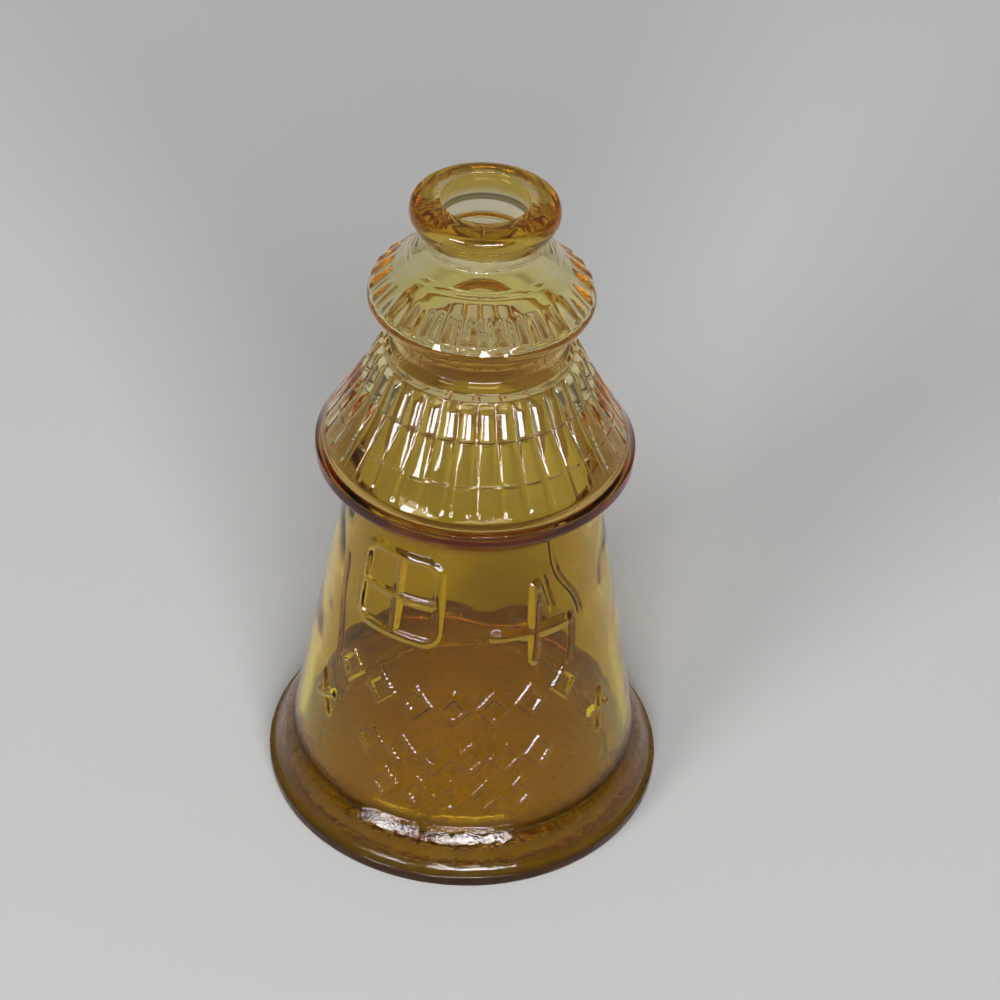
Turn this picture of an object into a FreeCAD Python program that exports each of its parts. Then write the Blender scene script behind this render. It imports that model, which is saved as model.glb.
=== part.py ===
"""Miniature amber glass bottle in the shape of a round tower house.

Millimetres, +Z up. The origin is the centre of the bearing ring, so the
bottle stands on z = 0. Its front faces -Y, and angles round the bottle are
counted from there towards +X.

The bottle is one moulded piece of glass: a flared foot, a tapering tower
wall with a window and crosses in relief, an eave with a rounded bead, a roof
of three courses of rounded tiles, a waist, a reeded cupola, a short neck and
a doughnut lip. The cavity is turned out last and follows the outside.
"""

import FreeCAD, Part
import math
import os

import Sketcher

SIZES = {
    # Foot and bearing ring
    "base_radius": 22.4,
    "base_edge": 0.5,
    "ring_inner_radius": 17.0,
    "push_up": 1.1,
    "rim_height": 1.4,
    "rim_step": 0.5,
    "ridge_radius": 20.15,
    "ridge_rise": 4.2,
    "crease_rise": 2.6,
    "crease_round": 0.5,
    # Tower wall
    "wall_bottom_radius": 19.1,
    "wall_top_radius": 13.15,
    "wall_rise": 33.9,
    "wall": 1.3,
    # Eave
    "eave_radius": 16.95,
    "eave_under_radius": 16.2,
    "eave_under_rise": 1.6,
    "eave_lower_rise": 1.4,
    "eave_upper_rise": 1.5,
    "eave_groove_radius": 16.2,
    # Roof, three courses of tiles
    "lower_course_rise": 3.45,
    "middle_course_rise": 3.25,
    "upper_course_rise": 4.4,
    "lower_course_radius": 14.65,
    "middle_course_radius": 12.05,
    "upper_course_radius": 9.9,
    "tile_count": 36,
    "tile_angle": 7.2,
    "tile_relief": 0.32,
    "tile_gap": 0.28,
    "tile_bevel": 0.4,
    "course_gap": 0.15,
    # Collar and waist
    "collar_radius": 10.05,
    "collar_rise": 1.7,
    "waist_radius": 9.2,
    "waist_rise": 1.7,
    # Cupola and its reeds
    "cupola_radius": 11.78,
    "cupola_under_radius": 11.35,
    "cupola_under_rise": 2.1,
    "cupola_lower_rise": 0.9,
    "cupola_upper_rise": 1.0,
    "cupola_edge_radius": 11.2,
    "reed_rise": 2.4,
    "reed_top_radius": 9.0,
    "reed_count": 30,
    "reed_angle": 10.3,
    "reed_relief": 0.28,
    "reed_gap": 0.25,
    # Shoulder, neck and lip
    "shoulder_rise": 3.4,
    "shoulder_sag": 0.6,
    "neck_radius": 5.9,
    "neck_rise": 0.85,
    "lip_radius": 7.65,
    "lip_crest_radius": 5.55,
    "lip_lower_rise": 2.1,
    "lip_upper_rise": 2.15,
    "bore_radius": 4.54,
    "bore_length": 5.0,
    "mouth_edge": 0.8,
    # Floor of the cavity
    "floor_thickness": 3.6,
    "floor_dome": 0.5,
    "floor_radius": 14.6,
    # Relief on the tower wall
    "level_relief": 0.35,
    "upright_relief": 0.29,
    "frame_bead_radius": 0.6,
    "cross_bead_radius": 0.8,
    "window_angle": 29.0,
    "window_half_width": 18.5,
    "window_half_height": 4.7,
    "window_centre_rise": 25.7,
    "cross_angle": 29.0,
    "cross_half_width": 17.0,
    "cross_half_height": 3.2,
    "cross_centre_rise": 22.2,
    "low_cross_angle": 58.0,
    "low_cross_half_width": 8.0,
    "low_cross_half_height": 2.0,
    "low_cross_centre_rise": 7.9,
}

# Share of a rounded corner's legs by which its middle stands in from the corner
CORNER_SHARE = 1 - math.sqrt(0.5)
# How far a tile's or reed's barrel turns about its own axis, in degrees
BARREL_SWEEP = 90.0
FULL_TURN = 360.0


class Size:
    """A number together with the sheet expression that gives it."""

    def __init__(self, value, text):
        self.value = value
        self.text = text

    @staticmethod
    def of(other):
        return other if isinstance(other, Size) else Size(other, repr(other))

    def __add__(self, other):
        other = Size.of(other)
        return Size(self.value + other.value, f"({self.text} + {other.text})")

    def __sub__(self, other):
        other = Size.of(other)
        return Size(self.value - other.value, f"({self.text} - {other.text})")

    def __mul__(self, other):
        other = Size.of(other)
        return Size(self.value * other.value, f"({self.text} * {other.text})")

    def __truediv__(self, other):
        other = Size.of(other)
        return Size(self.value / other.value, f"({self.text} / {other.text})")

    def __neg__(self):
        return Size(-self.value, f"(0 - {self.text})")

    def root(self):
        return Size(math.sqrt(self.value), f"sqrt({self.text})")


doc = FreeCAD.newDocument("tower_bottle")
sheet = doc.addObject("Spreadsheet::Sheet", "Sizes")
for row, (name, value) in enumerate(SIZES.items(), start=1):
    sheet.set(f"A{row}", name)
    sheet.set(f"B{row}", str(value))
    sheet.setAlias(f"B{row}", name)
doc.recompute()

size = {name: Size(float(sheet.get(name)), f"Sizes.{name}") for name in SIZES}
NOTHING = Size(0.0, "0")

# Heights of the outline's corners, each stacked on the one below
rim_z = size["rim_height"]
ridge_z = rim_z + size["ridge_rise"]
crease_z = ridge_z + size["crease_rise"]
wall_top_z = crease_z + size["wall_rise"]
eave_under_z = wall_top_z + size["eave_under_rise"]
eave_crest_z = eave_under_z + size["eave_lower_rise"]
eave_groove_z = eave_crest_z + size["eave_upper_rise"]
lower_course_z = eave_groove_z + size["lower_course_rise"]
middle_course_z = lower_course_z + size["middle_course_rise"]
upper_course_z = middle_course_z + size["upper_course_rise"]
collar_z = upper_course_z + size["collar_rise"]
waist_z = collar_z + size["waist_rise"]
cupola_under_z = waist_z + size["cupola_under_rise"]
cupola_crest_z = cupola_under_z + size["cupola_lower_rise"]
cupola_edge_z = cupola_crest_z + size["cupola_upper_rise"]
reed_top_z = cupola_edge_z + size["reed_rise"]
neck_z = reed_top_z + size["shoulder_rise"]
lip_bottom_z = neck_z + size["neck_rise"]
lip_crest_z = lip_bottom_z + size["lip_lower_rise"]
lip_top_z = lip_crest_z + size["lip_upper_rise"]

# Corners that the outline shares with the tiles and reeds laid on it
eave_groove = (size["eave_groove_radius"], eave_groove_z)
lower_course = (size["lower_course_radius"], lower_course_z)
middle_course = (size["middle_course_radius"], middle_course_z)
upper_course = (size["upper_course_radius"], upper_course_z)
cupola_edge = (size["cupola_edge_radius"], cupola_edge_z)
reed_top = (size["reed_top_radius"], reed_top_z)


def between(low, high):
    return (low + high) / 2


def rounded(start, end, corner):
    """Middle of an arc from start to end that rounds the given corner."""
    return tuple(
        corner[i] + (between(start[i], end[i]) - corner[i]) * (2 * CORNER_SHARE)
        for i in range(2)
    )


def shifted(place, direction, distance):
    return tuple(place[i] + distance * direction[i] for i in range(2))


def slope(low, high):
    """Unit directions up a slope and square out from it."""
    run = (high[0] - low[0], high[1] - low[1])
    length = (run[0] * run[0] + run[1] * run[1]).root()
    up = (run[0] / length, run[1] / length)
    return up, (up[1], -up[0])


def origin_feature(body, role):
    return next(feature for feature in body.Origin.OriginFeatures if feature.Role == role)


def upright_sketch(body, name, angle):
    """Sketch in the upright half-plane at an angle from the front."""
    sketch = body.newObject("Sketcher::SketchObject", name)
    sketch.AttachmentSupport = [(origin_feature(body, "XZ_Plane"), "")]
    sketch.MapMode = "FlatFace"
    turn = angle - 90
    upright = FreeCAD.Vector(0, 1, 0)
    rotation = FreeCAD.Rotation(upright, turn.value)
    sketch.AttachmentOffset = FreeCAD.Placement(FreeCAD.Vector(), rotation)
    sketch.setExpression("AttachmentOffset.Rotation.Angle", turn.text)
    return sketch


def bind(sketch, constraint, wanted):
    row = sketch.addConstraint(constraint)
    sketch.setExpression(f"Constraints[{row}]", wanted.text)


def pin(sketch, geometry, point, place):
    """Fix a point of the sketch at a radius and a height from the sheet."""
    for kind, axis, wanted in (("DistanceX", -2, place[0]), ("DistanceY", -1, place[1])):
        if wanted is NOTHING:
            sketch.addConstraint(Sketcher.Constraint("PointOnObject", geometry, point, axis))
        else:
            bind(sketch, Sketcher.Constraint(kind, -1, 1, geometry, point, wanted.value), wanted)


def vector(place):
    return FreeCAD.Vector(place[0].value, place[1].value, 0)


def round_edge(here, middle, end):
    """Anticlockwise arc through three points, and which of its ends comes first."""
    circle = Part.Circle(here, middle, end)
    upright_circle = Part.Circle(circle.Center, FreeCAD.Vector(0, 0, 1), circle.Radius)
    anticlockwise = (end - here).cross(middle - here).z < 0
    ends = (here, end) if anticlockwise else (end, here)
    arc = Part.ArcOfCircle(upright_circle, *(upright_circle.parameter(place) for place in ends))
    return (arc, 1, 2) if anticlockwise else (arc, 2, 1)


def draw(sketch, start, steps):
    """Closed outline of lines (end,) and of arcs (middle, end)."""
    here = start
    first = None
    last = None
    for step in steps:
        end = step[-1]
        if len(step) == 1:
            edge = sketch.addGeometry(Part.LineSegment(vector(here), vector(end)), False)
            begin, finish = 1, 2
        else:
            arc, begin, finish = round_edge(vector(here), vector(step[0]), vector(end))
            edge = sketch.addGeometry(arc, False)
            mark = sketch.addGeometry(Part.Point(vector(step[0])), True)
            pin(sketch, mark, 1, step[0])
            sketch.addConstraint(Sketcher.Constraint("PointOnObject", mark, 1, edge))
        if last is None:
            first = (edge, begin)
            pin(sketch, edge, begin, start)
        else:
            sketch.addConstraint(Sketcher.Constraint("Coincident", *last, edge, begin))
        last = (edge, finish)
        if step is steps[-1]:
            sketch.addConstraint(Sketcher.Constraint("Coincident", *last, *first))
        else:
            pin(sketch, edge, finish, end)
        here = end


def draw_axis(sketch, low, high):
    """Construction line that a barrel or a bead is turned about."""
    line = sketch.addGeometry(Part.LineSegment(vector(low), vector(high)), True)
    pin(sketch, line, 1, low)
    pin(sketch, line, 2, high)


def turned(body, kind, name, sketch, own_axis=False, sweep=None):
    """Revolution or Groove of a sketch, round Z or round the axis drawn in it."""
    feature = body.newObject(f"PartDesign::{kind}", name)
    feature.Profile = sketch
    axis = (sketch, ["Axis0"]) if own_axis else (origin_feature(body, "Z_Axis"), [""])
    feature.ReferenceAxis = axis
    feature.Angle = FULL_TURN
    if sweep is not None:
        feature.Midplane = True
        feature.Angle = sweep.value
        feature.setExpression("Angle", sweep.text)
    doc.recompute()
    return feature


def ring_of(body, name, features, count):
    """The features repeated evenly round the bottle."""
    pattern = body.newObject("PartDesign::PolarPattern", name)
    pattern.Originals = features
    pattern.Axis = (origin_feature(body, "Z_Axis"), [""])
    pattern.Angle = FULL_TURN
    pattern.Occurrences = int(count.value)
    pattern.setExpression("Occurrences", count.text)
    body.Tip = pattern
    doc.recompute()


def outside(body):
    """Outer shape of the bottle, from the hollow under the base to the mouth."""
    sketch = upright_sketch(body, "outer_outline", Size(90.0, "90"))
    base = size["base_radius"]
    edge = size["base_edge"]
    middle_of_base = (NOTHING, size["push_up"])
    sole = (base - edge, NOTHING)
    sole_edge = (base, edge)
    ridge = (size["ridge_radius"], ridge_z)
    crease = (size["wall_bottom_radius"], crease_z)
    crease_corner = shifted((crease[0], ridge[1]), (1, 1), size["crease_round"])
    collar = (size["collar_radius"], between(upper_course_z, collar_z))
    neck = (size["neck_radius"], neck_z)
    shoulder = shifted(
        (between(reed_top[0], neck[0]), between(reed_top[1], neck[1])), (-1, -1), size["shoulder_sag"])
    crest = (size["lip_crest_radius"], lip_top_z)
    mouth = (size["bore_radius"], lip_top_z - size["mouth_edge"])
    draw(sketch, middle_of_base, [
        ((size["ring_inner_radius"], NOTHING),),
        (sole,),
        (sole_edge,),
        ((base, rim_z),),
        ((base - size["rim_step"], rim_z + edge),),
        (ridge,),
        (rounded(ridge, crease, crease_corner), crease),
        ((size["wall_top_radius"], wall_top_z),),
        ((size["eave_under_radius"], eave_under_z),),
        ((size["eave_radius"], eave_crest_z), eave_groove),
        (lower_course,),
        (middle_course,),
        (upper_course,),
        (collar,),
        ((size["waist_radius"], collar_z),),
        ((size["waist_radius"], waist_z),),
        ((size["cupola_under_radius"], cupola_under_z),),
        ((size["cupola_radius"], cupola_crest_z), cupola_edge),
        (reed_top,),
        (shoulder, neck),
        ((size["neck_radius"], lip_bottom_z),),
        ((size["lip_radius"], lip_crest_z), crest),
        (rounded(crest, mouth, (mouth[0], crest[1])), mouth),
        ((NOTHING, mouth[1]),),
        (middle_of_base,),
    ])
    turned(body, "Revolution", "outer_glass", sketch)


def barrel(body, name, angle, low, high, count, gap, relief):
    """Rounded rib from low to high on a sloping face, one of a ring of so many.

    It is a sector of a tapering barrel sunk in the face. Its width leaves the
    gap to its neighbours at both ends, and its crest stands out by the relief.
    """
    up, out = slope(low, high)
    clear = size["course_gap"]
    bevel = size["tile_bevel"]
    ends = []
    for place, inward in ((low, 1), (high, -1)):
        width = place[0] * (2 * math.pi) / count - gap
        radius = (width * width / 4 + relief * relief) / (relief * 2)
        centre = shifted(shifted(place, up, clear * inward), out, relief - radius)
        ends.append((centre, radius))
    (low_centre, low_radius), (high_centre, high_radius) = ends
    sketch = upright_sketch(body, f"{name}_outline", angle)
    draw_axis(sketch, low_centre, high_centre)
    draw(sketch, low_centre, [
        (shifted(low_centre, out, low_radius - bevel),),
        (shifted(shifted(low_centre, out, low_radius), up, bevel),),
        (shifted(shifted(high_centre, out, high_radius), up, -bevel),),
        (shifted(high_centre, out, high_radius - bevel),),
        (high_centre,),
        (low_centre,),
    ])
    sweep = Size(BARREL_SWEEP, str(BARREL_SWEEP))
    return turned(body, "Revolution", name, sketch, own_axis=True, sweep=sweep)


def roof_tiles(body):
    """Three courses of rounded tiles on the roof, in line from course to course."""
    courses = {
        "lower_tile": (eave_groove, lower_course),
        "middle_tile": (lower_course, middle_course),
        "upper_tile": (middle_course, upper_course),
    }
    count = size["tile_count"]
    tiles = [
        barrel(body, name, size["tile_angle"], low, high, count, size["tile_gap"], size["tile_relief"])
        for name, (low, high) in courses.items()
    ]
    ring_of(body, "roof_tiles", tiles, count)


def cupola_reeds(body):
    """Rounded reeds round the upper face of the cupola."""
    count = size["reed_count"]
    reed = barrel(body, "cupola_reed", size["reed_angle"], cupola_edge, reed_top, count,
                  size["reed_gap"], size["reed_relief"])
    ring_of(body, "cupola_reeds", [reed], count)


def bead_centre(height, radius, relief):
    """Centre of a bead's section, sunk in the tower wall so that its relief shows."""
    taper = (size["wall_bottom_radius"] - size["wall_top_radius"]) / size["wall_rise"]
    face = size["wall_bottom_radius"] - taper * (height - crease_z)
    return (face + relief - radius, height)


def level_beads(body, name, angle, half_width, heights, radius):
    """Level bars of half-round bead, one at each height, as wide as the angles say."""
    sketch = upright_sketch(body, f"{name}_outline", angle)
    for height in heights:
        centre = bead_centre(height, radius, size["level_relief"])
        circle = Part.Circle(vector(centre), FreeCAD.Vector(0, 0, 1), radius.value)
        ring = sketch.addGeometry(circle, False)
        pin(sketch, ring, 3, centre)
        bind(sketch, Sketcher.Constraint("Radius", ring, radius.value), radius)
    turned(body, "Revolution", name, sketch, sweep=half_width * 2)


def upright_bead(body, name, angle, low_z, high_z, radius):
    """Bar of half-round bead up the tower wall, with round ends."""
    low = bead_centre(low_z, radius, size["upright_relief"])
    high = bead_centre(high_z, radius, size["upright_relief"])
    up, out = slope(low, high)
    foot = shifted(low, up, -radius)
    head = shifted(high, up, radius)
    low_side = shifted(low, out, radius)
    high_side = shifted(high, out, radius)
    sketch = upright_sketch(body, f"{name}_outline", angle)
    draw_axis(sketch, low, high)
    draw(sketch, foot, [
        (rounded(foot, low_side, shifted(foot, out, radius)), low_side),
        (high_side,),
        (rounded(high_side, head, shifted(head, out, radius)), head),
        (foot,),
    ])
    turned(body, "Revolution", name, sketch, own_axis=True)


def window(body):
    """Four-pane window: a frame and glazing bars of bead."""
    radius = size["frame_bead_radius"]
    centre_z = crease_z + size["window_centre_rise"]
    low_z = centre_z - size["window_half_height"]
    high_z = centre_z + size["window_half_height"]
    middle = -size["window_angle"]
    half = size["window_half_width"]
    level_beads(body, "window_rails", middle, half, (low_z, centre_z, high_z), radius)
    upright_bead(body, "window_left_stile", middle - half, low_z, high_z, radius)
    upright_bead(body, "window_glazing_bar", middle, low_z, high_z, radius)
    upright_bead(body, "window_right_stile", middle + half, low_z, high_z, radius)


def cross(body, name, angle, kind):
    """Upright cross of bead, of the kind whose sizes start with the given word."""
    radius = size["cross_bead_radius"]
    centre_z = crease_z + size[f"{kind}_centre_rise"]
    reach = size[f"{kind}_half_height"]
    level_beads(body, f"{name}_arms", angle, size[f"{kind}_half_width"], (centre_z,), radius)
    upright_bead(body, f"{name}_post", angle, centre_z - reach, centre_z + reach, radius)


def cavity(body):
    """Bore and hollow, a wall's thickness inside the outline."""
    sketch = upright_sketch(body, "inner_outline", Size(90.0, "90"))
    wall = size["wall"]
    bore = size["bore_radius"]
    middle_of_floor = (NOTHING, size["floor_thickness"] + size["floor_dome"])
    floor_edge = (size["floor_radius"], size["floor_thickness"])
    heel_top = (size["wall_bottom_radius"] - wall, crease_z)
    heel = rounded(floor_edge, heel_top, (heel_top[0], floor_edge[1]))
    under_eave = (size["eave_under_radius"] - wall, eave_under_z + wall)
    eave_middle = (size["eave_radius"] - wall, between(under_eave[1], eave_groove_z))
    cupola_foot = (size["cupola_under_radius"] - wall, cupola_under_z + wall / 2)
    cupola_middle = (size["cupola_radius"] - wall, between(cupola_foot[1], cupola_edge_z))
    mouth_z = lip_top_z - size["mouth_edge"]

    def inside(place):
        return (place[0] - wall, place[1])

    draw(sketch, middle_of_floor, [
        (floor_edge,),
        (heel,),
        (heel_top,),
        ((size["wall_top_radius"] - wall, wall_top_z + wall / 2),),
        (under_eave,),
        (eave_middle,),
        (inside(eave_groove),),
        (inside(lower_course),),
        (inside(middle_course),),
        (inside(upper_course),),
        ((size["waist_radius"] - wall, collar_z),),
        ((size["waist_radius"] - wall, waist_z + wall / 2),),
        (cupola_foot,),
        (cupola_middle,),
        (inside(cupola_edge),),
        (inside(reed_top),),
        ((bore, mouth_z - size["bore_length"]),),
        ((bore, lip_top_z),),
        ((NOTHING, lip_top_z),),
        (middle_of_floor,),
    ])
    solid_volume = body.Shape.Volume
    turned(body, "Groove", "cavity", sketch)
    if body.Shape.Volume > solid_volume / 2:
        raise RuntimeError("the cavity was not cut")


def glass_bottle():
    body = doc.addObject("PartDesign::Body", "glass_bottle")
    body.Label = "glass_bottle"
    outside(body)
    window(body)
    cross(body, "tall_cross", size["cross_angle"], "cross")
    cross(body, "left_cross", -size["low_cross_angle"], "low_cross")
    cross(body, "right_cross", size["low_cross_angle"], "low_cross")
    cupola_reeds(body)
    roof_tiles(body)
    cavity(body)
    return body


def check(body):
    for thing in doc.Objects:
        if "Invalid" in thing.State or "Error" in thing.State:
            raise RuntimeError(f"{thing.Name} failed to recompute")
    if body.Shape.isNull() or not body.Shape.isValid() or len(body.Shape.Solids) != 1:
        raise RuntimeError(f"{body.Label} is not one valid solid")


def export(body):
    os.makedirs("parts", exist_ok=True)
    body.Shape.exportStep(f"parts/{body.Label}.step")
    print(f"{body.Label}: {body.Shape.Volume:.0f} cubic mm, {len(body.Shape.Faces)} faces")


bottle = glass_bottle()
check(bottle)
export(bottle)
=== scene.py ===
"""Looks of the amber glass bottle in the shape of a round tower house.

The bottle is one closed mesh: an outline turned round the axis, with tiles,
reeds, window, crosses and ornament raised on its outside, and slow waves and
folds on its inside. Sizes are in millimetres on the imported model's own scale,
angles are in degrees from the front (-Y) towards +X.
"""

import math

import bpy
import numpy as np
from mathutils import Matrix, Vector


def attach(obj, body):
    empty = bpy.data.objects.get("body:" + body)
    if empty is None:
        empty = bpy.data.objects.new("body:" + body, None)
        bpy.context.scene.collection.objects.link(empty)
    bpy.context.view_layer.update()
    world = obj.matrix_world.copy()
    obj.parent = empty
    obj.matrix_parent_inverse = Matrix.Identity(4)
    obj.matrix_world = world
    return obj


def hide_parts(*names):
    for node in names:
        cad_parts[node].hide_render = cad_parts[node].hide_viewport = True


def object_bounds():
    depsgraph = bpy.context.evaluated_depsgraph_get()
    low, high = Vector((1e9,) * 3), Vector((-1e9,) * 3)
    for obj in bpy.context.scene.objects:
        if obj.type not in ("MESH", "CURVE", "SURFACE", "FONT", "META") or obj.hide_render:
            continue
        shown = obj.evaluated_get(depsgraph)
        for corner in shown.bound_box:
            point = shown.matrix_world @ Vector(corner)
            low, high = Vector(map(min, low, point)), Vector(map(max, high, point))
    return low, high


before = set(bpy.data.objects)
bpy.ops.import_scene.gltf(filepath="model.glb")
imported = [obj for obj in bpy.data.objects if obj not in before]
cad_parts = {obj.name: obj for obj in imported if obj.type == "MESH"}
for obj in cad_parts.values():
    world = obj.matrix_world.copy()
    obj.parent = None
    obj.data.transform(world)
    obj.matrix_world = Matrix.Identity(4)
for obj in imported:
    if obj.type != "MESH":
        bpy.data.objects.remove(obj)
cad_low, cad_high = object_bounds()

FOOT_WIDTH = 44.8
BOTTLE_HEIGHT = 76.0
MM = (cad_high.x - cad_low.x) / FOOT_WIDTH
FULL_TURN = 360.0

# Outline of the glass: radius, height and how far each corner is rounded
OUTSIDE = (
    (0.0, 1.1, 0.0),
    (16.4, 0.75, 2.0),
    (17.0, 0.0, 0.3),
    (22.4, 0.0, 0.55),
    (22.4, 1.6, 0.35),
    (21.75, 1.95, 0.5),
    (20.45, 5.15, 4.0),
    (19.45, 6.5, 0.5),
    (13.25, 41.6, 0.4),
    (15.9, 42.95, 0.8),
    (17.05, 44.3, 0.9),
    (17.05, 45.7, 0.1),
    (16.8, 45.95, 0.1),
    (14.22, 49.97, 0.03),
    (14.29, 50.0, 0.03),
    (11.7, 53.82, 0.03),
    (11.77, 53.85, 0.03),
    (9.9, 57.5, 0.4),
    (10.1, 58.5, 0.5),
    (9.2, 59.4, 0.5),
    (9.2, 61.1, 0.9),
    (11.4, 63.2, 0.7),
    (11.85, 64.1, 0.6),
    (11.35, 65.1, 0.5),
    (9.1, 67.2, 2.0),
    (8.0, 68.4, 0.1),
    (7.85, 68.7, 0.1),
    (7.5, 68.95, 0.1),
    (7.35, 69.25, 0.1),
    (5.95, 70.5, 0.4),
    (5.95, 71.9, 0.35),
    (6.95, 72.4, 0.5),
    (7.75, 73.85, 1.3),
    (7.6, 74.75, 1.6),
    (7.36, 75.2, 0.6),
    (6.2, 75.6, 2.0),
)
INSIDE = (
    (4.55, 75.5, 0.12),
    (4.54, 70.5, 0.4),
    (7.3, 67.8, 1.5),
    (8.4, 66.6, 1.5),
    (10.5, 64.65, 0.5),
    (11.0, 64.1, 0.35),
    (10.6, 63.6, 0.5),
    (7.8, 61.4, 1.0),
    (7.7, 58.4, 1.0),
    (15.5, 46.15, 0.8),
    (15.5, 45.2, 0.8),
    (14.7, 44.2, 0.9),
    (12.05, 42.3, 1.4),
    (18.1, 7.4, 2.5),
    (19.05, 5.0, 1.2),
    (18.8, 4.1, 0.9),
    (14.6, 3.6, 3.0),
    (0.0, 4.1, 0.0),
)

# Ribs of the roof and cupola: shares are of the space from rib to rib, pairs run from low to high
TILE_COUNT = 36
TILE_ANGLE = 7.2
TILE_SHARES = (0.7, 0.87)
TILE_EDGE = 0.13
TILE_RELIEF = 0.085
TILE_CROWNS = (0.03, 0.38)
TILE_ENDS = (47.1, 57.5)
TILE_FADE = 1.0
COURSE_ENDS = (50.0, 53.85)
REED_COUNT = 30
REED_ANGLE = 10.3
REED_SHARE = 0.6
REED_EDGE = 0.35
REED_RELIEF = 0.03
REED_CROWN = 0.2
REED_ENDS = (64.45, 67.6)
REED_FADE = 2.0
RIB_CORNER = 0.55
ROOF_BAND = (46.4, 58.2)
CUPOLA_BAND = (64.3, 68.4)

# Relief on the tower wall
WALL_BAND = (7.6, 42.0)
BAR_RELIEF = 0.32
BAR_SOFTNESS = 1.5
FRAME_HALF_WIDTH = 0.68
WINDOW_ANGLE = -29.0
WINDOW_HEIGHT = 33.9
WINDOW_HALF_SPAN = 18.5
WINDOW_HALF_RISE = 4.7
WINDOW_CORNER = 1.5
CROSSES = (
    # angle, height, half span in degrees, lower and upper post, half width of the bars, lean
    (29.6, 30.3, 17.0, 3.4, 5.4, 0.8, 3.0),
    (-57.5, 16.3, 5.0, 2.2, 2.2, 0.62, -28.0),
    (58.6, 16.3, 5.5, 2.4, 2.2, 0.62, 12.0),
)
LOZENGE_ROWS = (
    # height, sag of the row at its middle, first angle, last angle, how many
    (22.6, 1.1, -46.0, 42.0, 7),
    (15.2, 0.0, -33.0, 30.0, 6),
    (10.4, 0.0, -25.0, 22.0, 5),
)
LOZENGE_HALF_WIDTH = 1.5
LOZENGE_HALF_HEIGHT = 1.7
LOZENGE_BAR = 0.5
LOZENGE_RELIEF = 0.24

# Mould seam on the lip and neck
SEAM_ANGLE = 0.6
SEAM_BAND = (70.9, 75.0)
SEAM_FADE = 0.6
SEAM_HALF_WIDTH = 0.16
SEAM_RELIEF = 0.08

# Waves and folds on the inside of the tower
WAVES = (
    # relief, how many round the bottle, lean and start, pace up the bottle and start, in radians
    (0.08, 3, 0.21, 0.4, 0.17, 1.1),
    (0.05, 7, -0.33, 2.0, 0.29, 0.0),
    (0.03, 11, 0.52, 0.0, 0.41, 0.7),
)
WAVE_ENDS = (14.0, 50.0)
WAVE_FADES = (16.0, 7.0)
CREASES = (
    # angle, swing in degrees, height of the bend, how slow the bend is, lower and upper end
    (48.8, 7.2, 33.6, 2.6, 28.6, 41.5),
    (38.4, 2.6, 33.7, 2.5, 31.0, 36.8),
    (48.0, -1.8, 25.6, 1.6, 23.4, 30.6),
    (-60.0, 4.0, 27.0, 4.0, 20.0, 34.0),
)
CREASE_HALF_WIDTH = 0.5
CREASE_DEPTH = 0.14
CREASE_FADE = 1.5

# Mesh: a plain grid of columns and rows, each cell split into fine ones where there is relief
COLUMNS = 120
FINE_COLUMNS = 6
FINE_ROWS = 4
ARC_STEP = 1.0
OUTLINE_STEP = 0.02
ROW_STEP = 1.7
ROW_TURN = 20.0
SHORT_ROW = 0.35
LEAST_RADIUS = 0.1
RAISED = 0.0001
NORMAL_STEP = 0.02
SAME_PLACE = 1e-9
NO_LENGTH = 1e-12

# Camera, as the photograph's view was measured
CAMERA_PLACE = (0.0, -228.81, 219.74)
CAMERA_PITCH = 38.585
CAMERA_YAW = 0.739
CAMERA_ROLL = -2.965
BOTTLE_TURN = 1.6
CAMERA_LENS = 97.2
SENSOR_WIDTH = 36.0
CAMERA_NEAR = 0.01
LIGHT_PATH_LENGTH = 32

# Room, in metres, with the sky's strength rising between two lifts from the horizon
FLOOR_REACH = 12.0
FLOOR_COLOUR = (0.535, 0.538, 0.542, 1.0)
FLOOR_ROUGHNESS = 0.9
FLOOR_SHINE = 0.1
SKY_COLOUR = (1.0, 1.0, 1.0, 1.0)
SKY_LOW = 0.1
SKY_HIGH = 0.28
SKY_LIFTS = (-0.1, 0.8)
SOFT_BOXES = {
    # azimuth, elevation, width and height in degrees, and radiance
    "front_box": (7.0, 15.0, 38.0, 9.0, 62.0),
    "left_box": (-39.0, 15.0, 22.0, 9.0, 46.0),
}
BOX_DISTANCE = 2.0

# Glass: the tint of its wall up the bottle and in places, and how much of red, green and blue
# more depth takes out per metre. Some tints are painted light and shade: the darker bands at the
# eave and waist and the darker rim are partly painted shade, the darker grooves between the tiles
# are painted shade, and the glow behind the waist, the tile edges and the foot's ledge are painted
# highlights. A place runs from where a tint starts to where it is full: a radius, but for the
# painted glow behind the waist how far back. Other pairs are heights.
GLASS_IOR = 1.5
GLASS_SHINE = (0.45, 0.45, 0.45, 1.0)
GLASS_TINTS = (
    # height, and the wall's tint there
    (0.0, (1.0, 0.86, 0.05)),
    (12.0, (1.0, 0.85, 0.05)),
    (26.0, (0.87, 0.69, 0.17)),
    (40.2, (0.87, 0.69, 0.17)),
    # Darker band under the eave: partly the deeper colour of the thick glass there, partly painted shade
    (40.8, (0.5, 0.31, 0.1)),
    (45.0, (0.5, 0.31, 0.1)),
    # On the roof these stops tint the grooves between the tiles, darker than the tiles as painted shade
    (46.2, (0.93, 0.84, 0.56)),
    (58.6, (0.96, 0.9, 0.66)),
    # Darker band at the waist: partly deeper glass, partly painted shade under the cupola's brim
    (59.6, (0.74, 0.52, 0.12)),
    (61.0, (0.74, 0.52, 0.12)),
    (62.2, (1.0, 0.98, 0.82)),
    (69.2, (1.0, 0.98, 0.82)),
    (70.6, (1.0, 0.96, 0.8)),
    (76.0, (1.0, 0.96, 0.8)),
)
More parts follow.
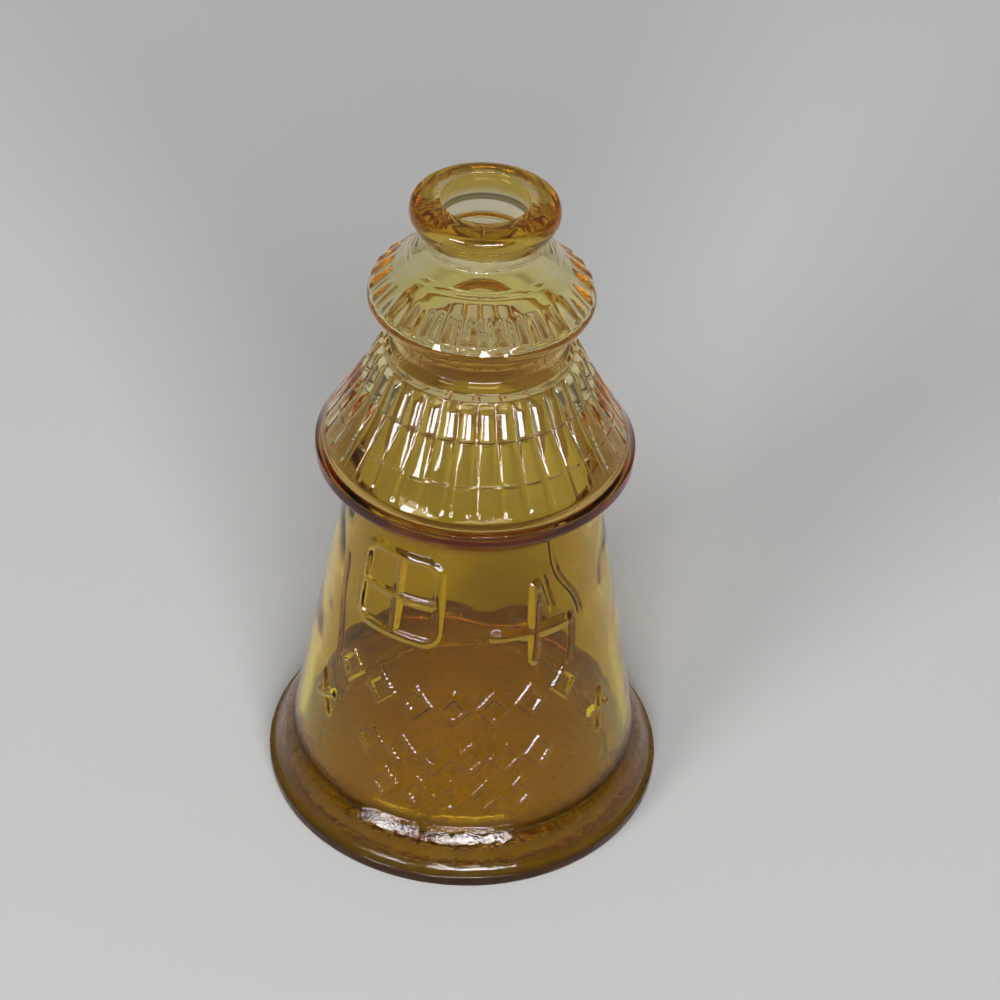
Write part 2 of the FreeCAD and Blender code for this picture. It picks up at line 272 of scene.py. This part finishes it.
# Tiles paler than the grooves, whose darker tint is painted shade, and a painted highlight along the tiles'
# edges
UNSHADED_TILE_TINT = (1.0, 0.99, 0.88, 1.0)
PAINTED_EDGE_HIGHLIGHT_TINT = (1.0, 1.0, 0.95, 1.0)
# Painted glow: a yellow patch of focused light at the back of the waist, seen through the cupola
PAINTED_GLOW_TINT = (1.0, 0.95, 0.48, 1.0)
PAINTED_GLOW_BAND = (57.6, 62.4)
PAINTED_GLOW_FADE = 0.8
PAINTED_GLOW_PLACE = (1.0, 5.0)
FOOT_TINT = (0.50, 0.385, 0.1, 1.0)
FOOT_PLACE = (17.8, 19.2)
# Painted highlight: a light line round the foot's ledge
PAINTED_LEDGE_HIGHLIGHT_TINT = (0.95, 0.84, 0.36, 1.0)
PAINTED_LEDGE_HIGHLIGHT_PLACE = (21.4, 21.8)
# Dark rim at the bottom of the foot: partly the deeper colour of its thick glass, partly painted shade
RIM_DEPTH_AND_SHADE_TINT = (0.11, 0.035, 0.01, 1.0)
RIM_DEPTH_AND_SHADE_PLACE = (22.05, 22.3)
LIP_TINT = (0.48, 0.31, 0.03, 1.0)
LIP_PLACE = (5.0, 5.6)
LIP_START = (71.6, 73.2)
GLASS_TAKES = (9.0, 36.0, 150.0)
RIM_TOP = (1.3, 2.1)
FOOT_TOP = (6.6, 7.4)

# Unevenness of the glass: sizes of its patterns, their shares of the bump, and the bump's height
RIPPLE_SIZE = 5.0
RIPPLE_SHARE = 0.3
STIPPLE_SIZE = 0.7
STIPPLE_SHARE = 0.6
GRAIN_SIZE = 1.6
GRAIN_DETAIL = 4.0
GRAIN_ROUGHNESS = 0.6
BUMP_HEIGHT = 0.12
SMUDGE_SIZE = 9.0
SMUDGE_DETAIL = 3.0
SMUDGE_ROUGHNESS = 0.04

# A Mix node's sockets for colours, which share their names with those for other kinds of value
MIX_FIRST = 6
MIX_SECOND = 7
MIX_RESULT = 2


def unit(vector):
    """The vector's direction, with a length of 1."""
    return vector / np.linalg.norm(vector)


def rounded_line(corners):
    """Points along straight runs whose corners are rounded by arcs."""
    places = [np.array(corner[:2]) for corner in corners]
    points = [places[0]]
    for i in range(1, len(corners) - 1):
        corner = places[i]
        back = places[i - 1] - corner
        ahead = places[i + 1] - corner
        half = math.acos(np.clip(unit(back) @ unit(ahead), -1, 1)) / 2
        room = min(np.linalg.norm(back), np.linalg.norm(ahead)) / 2
        leg = min(corners[i][2] / math.tan(half), room)
        centre = corner + unit(unit(back) + unit(ahead)) * leg / math.cos(half)
        first = corner + unit(back) * leg - centre
        last = corner + unit(ahead) * leg - centre
        turn = math.atan2(first[0] * last[1] - first[1] * last[0], first @ last)
        count = max(2, math.ceil(abs(math.degrees(turn)) / ARC_STEP))
        for k in range(count + 1):
            angle = turn * k / count
            spin = np.array(((math.cos(angle), -math.sin(angle)), (math.sin(angle), math.cos(angle))))
            points.append(centre + spin @ first)
    points.append(places[-1])
    return np.array(points)


class Outline:
    """The glass's section from the middle of the base, over the lip, to the middle of the floor."""

    def __init__(self, outside, inside):
        points = rounded_line(outside + inside)
        runs = np.linalg.norm(np.diff(points, axis=0), axis=1)
        apart = runs > SAME_PLACE
        points = points[np.concatenate(((True,), apart))]
        ways = np.concatenate(((0.0,), np.cumsum(runs[apart])))
        self.length = ways[-1]
        self.ways = np.linspace(0, self.length, round(self.length / OUTLINE_STEP))
        self.points = np.stack([np.interp(self.ways, ways, points[:, k]) for k in range(2)], axis=1)
        tangents = np.gradient(self.points, self.ways, axis=0)
        tangents /= np.linalg.norm(tangents, axis=1)[:, None]
        self.out = np.stack((tangents[:, 1], -tangents[:, 0]), axis=1)
        self.lip_way = self.ways[self.points[:, 1].argmax()]

    def at(self, way):
        """Radius, height and the two parts of the outward direction at ways along the outline."""
        table = np.concatenate((self.points, self.out), axis=1)
        return [np.interp(way, self.ways, table[:, k]) for k in range(4)]

    def rows(self):
        """Ways along the outline that are close where it bends."""
        heading = np.unwrap(np.arctan2(self.out[:, 1], self.out[:, 0]))
        bend = np.abs(np.diff(heading)) / math.radians(ROW_TURN)
        need = np.concatenate(((0.0,), np.cumsum(np.diff(self.ways) / ROW_STEP + bend)))
        count = math.ceil(need[-1])
        return np.interp(np.linspace(0, need[-1], count + 1), need, self.ways)


def smooth(share):
    """Rises from 0 to 1 with level ends."""
    share = np.clip(share, 0, 1)
    return share * share * (3 - 2 * share)


def bar_section(distance, half_width):
    """Height of a half-round bar with soft edges, 1 along its middle."""
    share = np.clip(distance / half_width, 0, 1)
    return (1 - share * share) ** BAR_SOFTNESS


def inside_box(across, along, half_width, half_length, corner):
    """How far inside a box with rounded corners each place lies, negative outside it."""
    beyond_width = np.abs(across) - half_width + corner
    beyond_length = np.abs(along) - half_length + corner
    past_corner = np.hypot(np.maximum(beyond_width, 0), np.maximum(beyond_length, 0))
    return corner - past_corner - np.minimum(np.maximum(beyond_width, beyond_length), 0)


def to_bar(across, along, low_across, high_across, low_along, high_along):
    """Distance to a bar's middle line."""
    beyond_across = np.maximum(low_across - across, across - high_across)
    beyond_along = np.maximum(low_along - along, along - high_along)
    return np.hypot(np.maximum(beyond_across, 0), np.maximum(beyond_along, 0))


def arc_length(angle, centre, radius):
    """How far round the bottle a place lies from a centre angle."""
    return np.radians((angle - centre + FULL_TURN / 2) % FULL_TURN - FULL_TURN / 2) * radius


def ribs(angle, radius, height, ends, fade, count, first, share, edge, relief, crown):
    """Masks and heights of a ring of ribs up a slope, U-shaped below and fading above."""
    radius = np.maximum(radius, LEAST_RADIUS)
    pitch = FULL_TURN / count
    offset = (angle - first + pitch / 2) % pitch - pitch / 2
    spacing = np.radians(pitch) * radius
    across = np.radians(offset) * radius
    half_width = spacing * (share + edge) / 2
    middle = (ends[0] + ends[1]) / 2
    half_length = (ends[1] - ends[0]) / 2
    depth = inside_box(across, height - middle, half_width, half_length, RIB_CORNER)
    swell = crown * np.maximum(1 - (across / half_width) ** 2, 0)
    mask = smooth(depth / (spacing * edge)) * smooth((ends[1] - height) / fade)
    return mask, mask * (relief + swell)


def tiles(angle, height, radius):
    """Masks and heights of the roof's tiles, which are wider and rounder in the top course."""
    crown = np.interp(height, COURSE_ENDS, TILE_CROWNS)
    share = np.interp(height, COURSE_ENDS, TILE_SHARES)
    return ribs(angle, radius, height, TILE_ENDS, TILE_FADE, TILE_COUNT, TILE_ANGLE,
                share, TILE_EDGE, TILE_RELIEF, crown)


def reeds(angle, height, radius):
    """Heights of the rounded reeds on the cupola."""
    return ribs(angle, radius, height, REED_ENDS, REED_FADE, REED_COUNT, REED_ANGLE,
                REED_SHARE, REED_EDGE, REED_RELIEF, REED_CROWN)[1]


def window(angle, height, radius):
    """Frame and glazing bars of the four-pane window."""
    across = arc_length(angle, WINDOW_ANGLE, radius)
    along = height - WINDOW_HEIGHT
    half_width = math.radians(WINDOW_HALF_SPAN) * radius
    to_frame = np.abs(inside_box(across, along, half_width, WINDOW_HALF_RISE, WINDOW_CORNER))
    to_post = to_bar(across, along, 0, 0, -WINDOW_HALF_RISE, WINDOW_HALF_RISE)
    to_rail = to_bar(across, along, -half_width, half_width, 0, 0)
    distance = np.minimum(to_frame, np.minimum(to_post, to_rail))
    return BAR_RELIEF * bar_section(distance, FRAME_HALF_WIDTH)


def crosses(angle, height, radius):
    """The tall cross and the two low ones, which lean."""
    relief = np.zeros_like(angle)
    for middle, rise, half_span, below, above, half_width, lean in CROSSES:
        level = arc_length(angle, middle, radius)
        upright = height - rise
        tilt = math.radians(lean)
        across = level * math.cos(tilt) - upright * math.sin(tilt)
        along = upright * math.cos(tilt) + level * math.sin(tilt)
        reach = math.radians(half_span) * radius
        arms = to_bar(across, along, -reach, reach, 0, 0)
        post = to_bar(across, along, 0, 0, -below, above)
        bars = bar_section(np.minimum(arms, post), half_width)
        relief = np.maximum(relief, BAR_RELIEF * bars)
    return relief


def lozenges(angle, height, radius):
    """Rows of open lozenges, a plain ornament on the lower wall."""
    relief = np.zeros_like(angle)
    slant = math.hypot(LOZENGE_HALF_WIDTH, LOZENGE_HALF_HEIGHT)
    reach = LOZENGE_HALF_WIDTH * LOZENGE_HALF_HEIGHT / slant
    for rise, sag, first, last, count in LOZENGE_ROWS:
        for k in range(count):
            share = k / (count - 1)
            middle = first + (last - first) * share
            level = rise - sag * 4 * share * (1 - share)
            across = np.abs(arc_length(angle, middle, radius))
            along = np.abs(height - level)
            edge = np.abs(across / LOZENGE_HALF_WIDTH + along / LOZENGE_HALF_HEIGHT - 1) * reach
            relief = np.maximum(relief, LOZENGE_RELIEF * bar_section(edge, LOZENGE_BAR))
    return relief


def neck_seam(angle, height, radius):
    """Fine line that the mould leaves on the lip and neck."""
    distance = np.abs(arc_length(angle, SEAM_ANGLE, radius))
    fade = smooth((height - SEAM_BAND[0]) / SEAM_FADE) * smooth((SEAM_BAND[1] - height) / SEAM_FADE)
    return SEAM_RELIEF * fade * bar_section(distance, SEAM_HALF_WIDTH)


def between(height, band):
    """True inside a band of heights."""
    return (height > band[0]) & (height < band[1])


def outer_relief(angle, height, radius):
    """What stands out of the plain outline, in millimetres."""
    on_wall = np.maximum(window(angle, height, radius), crosses(angle, height, radius))
    on_wall = np.maximum(on_wall, lozenges(angle, height, radius))
    relief = np.where(between(height, WALL_BAND), on_wall, 0)
    relief = np.where(between(height, ROOF_BAND), tiles(angle, height, radius)[1], relief)
    relief = np.where(between(height, CUPOLA_BAND), reeds(angle, height, radius), relief)
    return np.where(between(height, SEAM_BAND), neck_seam(angle, height, radius), relief)


def tile_share(outline, angle, way):
    """1 on the tiles of the roof, 0 off them."""
    radius, height = outline.at(way)[:2]
    on_roof = (way < outline.lip_way) & between(height, ROOF_BAND)
    return np.where(on_roof, tiles(angle, height, radius)[0], 0)


def inner_waves(angle, height):
    """Slow waves that blowing leaves on the inside of the tower and roof."""
    turn = np.radians(angle)
    waves = np.zeros_like(angle)
    for relief, count, lean, start, pace, low_start in WAVES:
        waves += relief * np.sin(count * turn + lean * height + start) * np.sin(pace * height + low_start)
    fade_in = smooth((height - WAVE_ENDS[0]) / WAVE_FADES[0])
    fade_out = smooth((WAVE_ENDS[1] - height) / WAVE_FADES[1])
    return fade_in * fade_out * waves


def inner_creases(angle, height, radius):
    """Fine folds that the cooling skin leaves on the inside of the tower."""
    depth = np.zeros_like(angle)
    for middle, swing, level, bend, low, high in CREASES:
        line = middle + swing * np.tanh((level - height) / bend)
        distance = np.abs(arc_length(angle, line, radius))
        fade = smooth((height - low) / CREASE_FADE) * smooth((high - height) / CREASE_FADE)
        depth = np.maximum(depth, CREASE_DEPTH * fade * bar_section(distance, CREASE_HALF_WIDTH))
    return depth


def glass_places(outline, angle, way):
    """Points of the glass's surface, in millimetres, at angles and ways along the outline."""
    radius, height, out_radius, out_height = outline.at(way)
    outer = way < outline.lip_way
    inner = inner_waves(angle, height) + inner_creases(angle, height, radius)
    relief = np.where(outer, outer_relief(angle, height, radius), inner)
    radius = radius + relief * out_radius
    height = height + relief * out_height
    turn = np.radians(angle)
    return np.stack((radius * np.sin(turn), -radius * np.cos(turn), height), axis=1)


def glass_normals(outline, angle, way):
    """Directions square to the surface, pointing out of the glass."""
    radius = np.maximum(outline.at(way)[0], NORMAL_STEP)
    swing = np.degrees(NORMAL_STEP / radius)
    low = np.maximum(way - NORMAL_STEP, 0)
    high = np.minimum(way + NORMAL_STEP, outline.length)
    round_it = glass_places(outline, angle + swing, way) - glass_places(outline, angle - swing, way)
    along_it = glass_places(outline, angle, high) - glass_places(outline, angle, low)
    normals = np.cross(round_it, along_it)
    lengths = np.linalg.norm(normals, axis=1)
    pole = lengths < NO_LENGTH
    normals[pole] = np.where(way[pole] < outline.lip_way, -1.0, 1.0)[:, None] * np.array((0, 0, 1.0))
    lengths[pole] = 1
    return normals / lengths[:, None]


def relief_cells(outline, rows):
    """True for each cell of the plain grid that needs finer faces."""
    fine_angles = np.arange(COLUMNS * FINE_COLUMNS) * FULL_TURN / (COLUMNS * FINE_COLUMNS)
    steps = np.arange(FINE_ROWS) / FINE_ROWS
    ways = (rows[:-1, None] + np.diff(rows)[:, None] * steps).ravel()
    ways = np.append(ways, rows[-1])
    angle, way = np.meshgrid(fine_angles, ways)
    radius, height = outline.at(way.ravel())[:2]
    outer = way.ravel() < outline.lip_way
    relief = np.where(outer, outer_relief(angle.ravel(), height, radius),
                      inner_creases(angle.ravel(), height, radius))
    raised = (relief > RAISED).reshape(way.shape)
    count = len(rows) - 1
    cells = np.zeros((count, COLUMNS), dtype=bool)
    for j in range(count):
        band = raised[j * FINE_ROWS:(j + 1) * FINE_ROWS + 1]
        hit = band.any(axis=0).reshape(COLUMNS, FINE_COLUMNS).any(axis=1)
        ends = band[:, ::FINE_COLUMNS].any(axis=0)
        cells[j] = hit | np.roll(ends, -1)
    return cells


def grid_faces(cells, strides):
    """Corners, as fine columns and fine rows, and faces of the grid, which closes round and at both ends.

    A fine cell is split all over, by its row's stride. A plain cell is one face, which takes in the
    corners of fine neighbours along its sides.
    """
    row_count = len(cells)
    numbers = {}
    wide = COLUMNS * FINE_COLUMNS
    deep = row_count * FINE_ROWS

    def corner(i, j):
        key = (0, j) if j in (0, deep) else (i % wide, j)
        return numbers.setdefault(key, len(numbers))

    def is_fine(i, j):
        return 0 <= j < row_count and cells[j, i % COLUMNS]

    faces = []
    for j in range(row_count):
        for i in range(COLUMNS):
            left, low = i * FINE_COLUMNS, j * FINE_ROWS
            right, high = left + FINE_COLUMNS, low + FINE_ROWS
            if cells[j, i]:
                for v in range(low, high, strides[j]):
                    top = v + strides[j]
                    for u in range(left, right):
                        ring = ((u, v), (u + 1, v), (u + 1, top), (u, top))
                        faces.append([corner(*place) for place in ring])
                continue
            step = 1 if is_fine(i, j - 1) else FINE_COLUMNS
            ring = [(u, low) for u in range(left, right, step)]
            step = strides[j] if is_fine(i + 1, j) else FINE_ROWS
            ring += [(right, v) for v in range(low, high, step)]
            step = 1 if is_fine(i, j + 1) else FINE_COLUMNS
            ring += [(u, high) for u in range(right, left, -step)]
            step = strides[j] if is_fine(i - 1, j) else FINE_ROWS
            ring += [(left, v) for v in range(high, low, -step)]
            faces.append(list(dict.fromkeys(corner(*place) for place in ring)))
    return np.array(list(numbers)), faces


def glass_mesh(name, outline):
    """Closed mesh of the glass: a plain grid round the axis, finer where there is relief."""
    rows = outline.rows()
    strides = np.where(np.diff(rows) < SHORT_ROW, FINE_ROWS, 1).tolist()
    corners, faces = grid_faces(relief_cells(outline, rows), strides)
    angle = corners[:, 0] * FULL_TURN / (COLUMNS * FINE_COLUMNS)
    way = np.interp(corners[:, 1] / FINE_ROWS, np.arange(len(rows)), rows)
    points = glass_places(outline, angle, way) * MM
    mesh = bpy.data.meshes.new(name)
    mesh.from_pydata(points.tolist(), [], faces)
    mesh.shade_smooth()
    mesh.normals_split_custom_set_from_vertices(glass_normals(outline, angle, way).tolist())
    tile = mesh.attributes.new("tile", "FLOAT", "POINT")
    tile.data.foreach_set("value", tile_share(outline, angle, way))
    return mesh


class Value:
    """A shader socket that can be used in Python sums."""

    def __init__(self, tree, socket):
        self.tree = tree
        self.socket = socket

    def combine(self, operation, first, second):
        sum_node = self.tree.node("ShaderNodeMath", {"operation": operation}, {0: first, 1: second})
        return sum_node["Value"]

    def __add__(self, other):
        return self.combine("ADD", self, other)

    def __radd__(self, other):
        return self.combine("ADD", other, self)

    def __sub__(self, other):
        return self.combine("SUBTRACT", self, other)

    def __rsub__(self, other):
        return self.combine("SUBTRACT", other, self)

    def __mul__(self, other):
        return self.combine("MULTIPLY", self, other)

    def __rmul__(self, other):
        return self.combine("MULTIPLY", other, self)


class Node:
    """A shader node whose outputs are read by name or number."""

    def __init__(self, tree, node):
        self.tree = tree
        self.node = node

    def __getitem__(self, name):
        return Value(self.tree, self.node.outputs[name])


class Tree:
    """A material's or world's node tree, empty to begin with."""

    def __init__(self, owner):
        owner.use_nodes = True
        self.tree = owner.node_tree
        self.tree.nodes.clear()

    def node(self, kind, settings, sockets):
        """A node of a kind, with its settings, then the values or links of its sockets."""
        made = self.tree.nodes.new(kind)
        for name, setting in settings.items():
            setattr(made, name, setting)
        for name, given in sockets.items():
            if isinstance(given, Value):
                self.tree.links.new(given.socket, made.inputs[name])
            else:
                made.inputs[name].default_value = given
        return Node(self, made)

    def mix(self, share, first, second):
        """A blend of two colours."""
        blend = self.node("ShaderNodeMix", {"data_type": "RGBA"}, {
            "Factor": share, MIX_FIRST: first, MIX_SECOND: second})
        return blend[MIX_RESULT]


def soft_step(tree, value, low, high):
    """A mask that rises from 0 to 1 between two lengths in millimetres."""
    return tree.node("ShaderNodeMapRange", {"interpolation_type": "SMOOTHSTEP"}, {
        "Value": value, "From Min": low * MM, "From Max": high * MM, "To Min": 0.0, "To Max": 1.0})["Result"]


def wall_tint(tree, place, parts, foot, rim):
    """Colour of the wall: deeper at the lip and foot, darker at the eave, waist and rim as deeper glass and
    painted shade, paler tiles beside grooves of painted shade, painted highlights on the tile edges and the
    foot's ledge, and a painted glow at the back of the waist.
    """
    height = parts["Z"]
    ramp = tree.node("ShaderNodeValToRGB", {}, {"Fac": height * (1 / (BOTTLE_HEIGHT * MM))})
    stops = ramp.node.color_ramp.elements
    stops.remove(stops[-1])
    stops[0].color = (*GLASS_TINTS[0][1], 1.0)
    for rise, tint in GLASS_TINTS[1:]:
        stops.new(rise / BOTTLE_HEIGHT).color = (*tint, 1.0)
    level = tree.node("ShaderNodeVectorMath", {"operation": "MULTIPLY"}, {
        0: place, 1: (1.0, 1.0, 0.0)})["Vector"]
    radius = tree.node("ShaderNodeVectorMath", {"operation": "LENGTH"}, {0: level})["Value"]
    on_foot = foot * soft_step(tree, radius, *FOOT_PLACE)
    on_painted_ledge_highlight = foot * soft_step(tree, radius, *PAINTED_LEDGE_HIGHLIGHT_PLACE)
    on_rim_depth_and_shade = rim * soft_step(tree, radius, *RIM_DEPTH_AND_SHADE_PLACE)
    on_lip = soft_step(tree, height, *LIP_START) * soft_step(tree, radius, *LIP_PLACE)
    # Painted glow in a band of heights at the back of the waist
    low, high = PAINTED_GLOW_BAND
    in_band = soft_step(tree, height, low, low + PAINTED_GLOW_FADE) - soft_step(tree, height, high - PAINTED_GLOW_FADE, high)
    on_painted_glow = in_band * soft_step(tree, parts["Y"], *PAINTED_GLOW_PLACE)
    tile = tree.node("ShaderNodeAttribute", {"attribute_name": "tile"}, {})["Fac"]
    # Tiles paler than the grooves, which keep the darker roof tint as painted shade
    tint = tree.mix(tile, ramp["Color"], UNSHADED_TILE_TINT)
    # Painted highlight along the tiles' edges
    on_painted_edge_highlight = 4 * tile * (1 - tile)
    tint = tree.mix(on_painted_edge_highlight, tint, PAINTED_EDGE_HIGHLIGHT_TINT)
    tint = tree.mix(on_painted_glow, tint, PAINTED_GLOW_TINT)
    tint = tree.mix(on_foot, tint, FOOT_TINT)
    # Painted highlight round the foot's ledge
    tint = tree.mix(on_painted_ledge_highlight, tint, PAINTED_LEDGE_HIGHLIGHT_TINT)
    # Dark rim: partly deeper glass, partly painted shade
    tint = tree.mix(on_rim_depth_and_shade, tint, RIM_DEPTH_AND_SHADE_TINT)
    return tree.mix(on_lip, tint, LIP_TINT)


def amber_glass():
    """Clear amber glass: tinted, with painted shade, highlights and glow in its tint, a little uneven,
    grained on the foot and stippled on its rim.
    """
    material = bpy.data.materials.new("amber_glass")
    tree = Tree(material)
    place = tree.node("ShaderNodeTexCoord", {}, {})["Object"]
    parts = tree.node("ShaderNodeSeparateXYZ", {}, {"Vector": place})
    height = parts["Z"]
    rim = 1 - soft_step(tree, height, *RIM_TOP)
    foot = 1 - soft_step(tree, height, *FOOT_TOP)
    stipple = tree.node("ShaderNodeTexVoronoi", {}, {
        "Vector": place, "Scale": 1 / (STIPPLE_SIZE * MM)})["Distance"]
    grain = tree.node("ShaderNodeTexNoise", {}, {
        "Vector": place, "Scale": 1 / (GRAIN_SIZE * MM),
        "Detail": GRAIN_DETAIL, "Roughness": GRAIN_ROUGHNESS})["Fac"]
    ripple = tree.node("ShaderNodeTexNoise", {}, {
        "Vector": place, "Scale": 1 / (RIPPLE_SIZE * MM), "Detail": 1.0})["Fac"]
    unevenness = ripple * RIPPLE_SHARE + stipple * rim * STIPPLE_SHARE + grain * foot
    normal = tree.node("ShaderNodeBump", {}, {
        "Strength": 1.0, "Distance": BUMP_HEIGHT * MM, "Height": unevenness})["Normal"]
    smudge = tree.node("ShaderNodeTexNoise", {}, {
        "Vector": place, "Scale": 1 / (SMUDGE_SIZE * MM), "Detail": SMUDGE_DETAIL})["Fac"]
    glass = tree.node("ShaderNodeBsdfPrincipled", {}, {
        "Base Color": wall_tint(tree, place, parts, foot, rim),
        "Roughness": smudge * SMUDGE_ROUGHNESS,
        "IOR": GLASS_IOR,
        "Specular Tint": GLASS_SHINE,
        "Transmission Weight": 1.0,
        "Normal": normal})["BSDF"]
    most = max(GLASS_TAKES)
    tint = [1 - taken / most for taken in GLASS_TAKES]
    depth = tree.node("ShaderNodeVolumeAbsorption", {}, {
        "Color": (*tint, 1.0), "Density": most})["Volume"]
    tree.node("ShaderNodeOutputMaterial", {}, {"Surface": glass, "Volume": depth})
    return material


def pale_floor():
    """Plain matt surface of the floor."""
    material = bpy.data.materials.new("pale_floor")
    tree = Tree(material)
    surface = tree.node("ShaderNodeBsdfPrincipled", {}, {
        "Base Color": FLOOR_COLOUR, "Roughness": FLOOR_ROUGHNESS, "Specular IOR Level": FLOOR_SHINE})["BSDF"]
    tree.node("ShaderNodeOutputMaterial", {}, {"Surface": surface})
    return material


def show(name, data):
    """Object that holds the data, linked to the scene."""
    piece = bpy.data.objects.new(name, data)
    bpy.context.scene.collection.objects.link(piece)
    return piece


def bottle():
    """The glass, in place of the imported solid."""
    outline = Outline(OUTSIDE, INSIDE)
    piece = show("tower_bottle", glass_mesh("tower_bottle", outline))
    piece.data.materials.append(amber_glass())
    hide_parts("glass_bottle")
    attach(piece, "root")


def floor():
    """Wide level square that the bottle stands on."""
    mesh = bpy.data.meshes.new("floor")
    signs = ((-1, -1), (1, -1), (1, 1), (-1, 1))
    corners = [(across * FLOOR_REACH, along * FLOOR_REACH, 0) for across, along in signs]
    mesh.from_pydata(corners, [], [tuple(range(len(corners)))])
    mesh.materials.append(pale_floor())
    show("floor", mesh)


def direction(azimuth, elevation):
    """Unit direction from the bottle, counted from the front towards +X and up."""
    turn = math.radians(azimuth)
    lift = math.radians(elevation)
    return Vector((math.sin(turn) * math.cos(lift), -math.cos(turn) * math.cos(lift), math.sin(lift)))


def soft_box(name, azimuth, elevation, width, height, radiance):
    """Area lamp that faces the bottle and looks as large from there as its angles say."""
    lamp = bpy.data.lights.new(name, "AREA")
    lamp.shape = "RECTANGLE"
    lamp.size = 2 * BOX_DISTANCE * math.tan(math.radians(width / 2))
    lamp.size_y = 2 * BOX_DISTANCE * math.tan(math.radians(height / 2))
    lamp.energy = radiance * math.pi * lamp.size * lamp.size_y
    piece = show(name, lamp)
    target = Vector((0, 0, BOTTLE_HEIGHT * MM / 2))
    away = direction(azimuth + BOTTLE_TURN, elevation)
    piece.location = target + away * BOX_DISTANCE
    piece.rotation_euler = away.to_track_quat("Z", "Y").to_euler()


def sky():
    """Soft light from all round, stronger from above."""
    world = bpy.data.worlds.new("soft_sky")
    bpy.context.scene.world = world
    tree = Tree(world)
    place = tree.node("ShaderNodeTexCoord", {}, {})["Generated"]
    lift = tree.node("ShaderNodeSeparateXYZ", {}, {"Vector": place})["Z"]
    strength = tree.node("ShaderNodeMapRange", {"interpolation_type": "SMOOTHSTEP"}, {
        "Value": lift, "From Min": SKY_LIFTS[0], "From Max": SKY_LIFTS[1],
        "To Min": SKY_LOW, "To Max": SKY_HIGH})["Result"]
    light = tree.node("ShaderNodeBackground", {}, {"Color": SKY_COLOUR, "Strength": strength})["Background"]
    tree.node("ShaderNodeOutputWorld", {}, {"Surface": light})


def camera():
    """Camera at the photograph's place, turned round the axis with the bottle's own turn."""
    pitch = math.radians(CAMERA_PITCH)
    yaw = math.radians(CAMERA_YAW)
    roll = math.radians(CAMERA_ROLL)
    ahead = Vector((math.sin(yaw) * math.cos(pitch), math.cos(yaw) * math.cos(pitch), -math.sin(pitch)))
    level_right = Vector((math.cos(yaw), -math.sin(yaw), 0))
    level_down = ahead.cross(level_right)
    right = level_right * math.cos(roll) + level_down * math.sin(roll)
    down = level_down * math.cos(roll) - level_right * math.sin(roll)
    turn = Matrix.Rotation(math.radians(BOTTLE_TURN), 3, "Z")
    axes = turn @ Matrix((right, -down, -ahead)).transposed()
    data = bpy.data.cameras.new("camera")
    data.lens = CAMERA_LENS
    data.sensor_width = SENSOR_WIDTH
    data.clip_start = CAMERA_NEAR
    piece = show("camera", data)
    piece.matrix_world = Matrix.LocRotScale(turn @ Vector(CAMERA_PLACE) * MM, axes.to_quaternion(), None)
    bpy.context.scene.camera = piece


def long_light_paths():
    """Lets light pass through both walls of the glass and back as often as it needs."""
    paths = bpy.context.scene.cycles
    paths.max_bounces = LIGHT_PATH_LENGTH
    paths.transmission_bounces = LIGHT_PATH_LENGTH
    paths.glossy_bounces = LIGHT_PATH_LENGTH


bpy.context.scene.view_settings.view_transform = "Standard"
long_light_paths()
bottle()
floor()
sky()
for box_name, box in SOFT_BOXES.items():
    soft_box(box_name, *box)
camera()
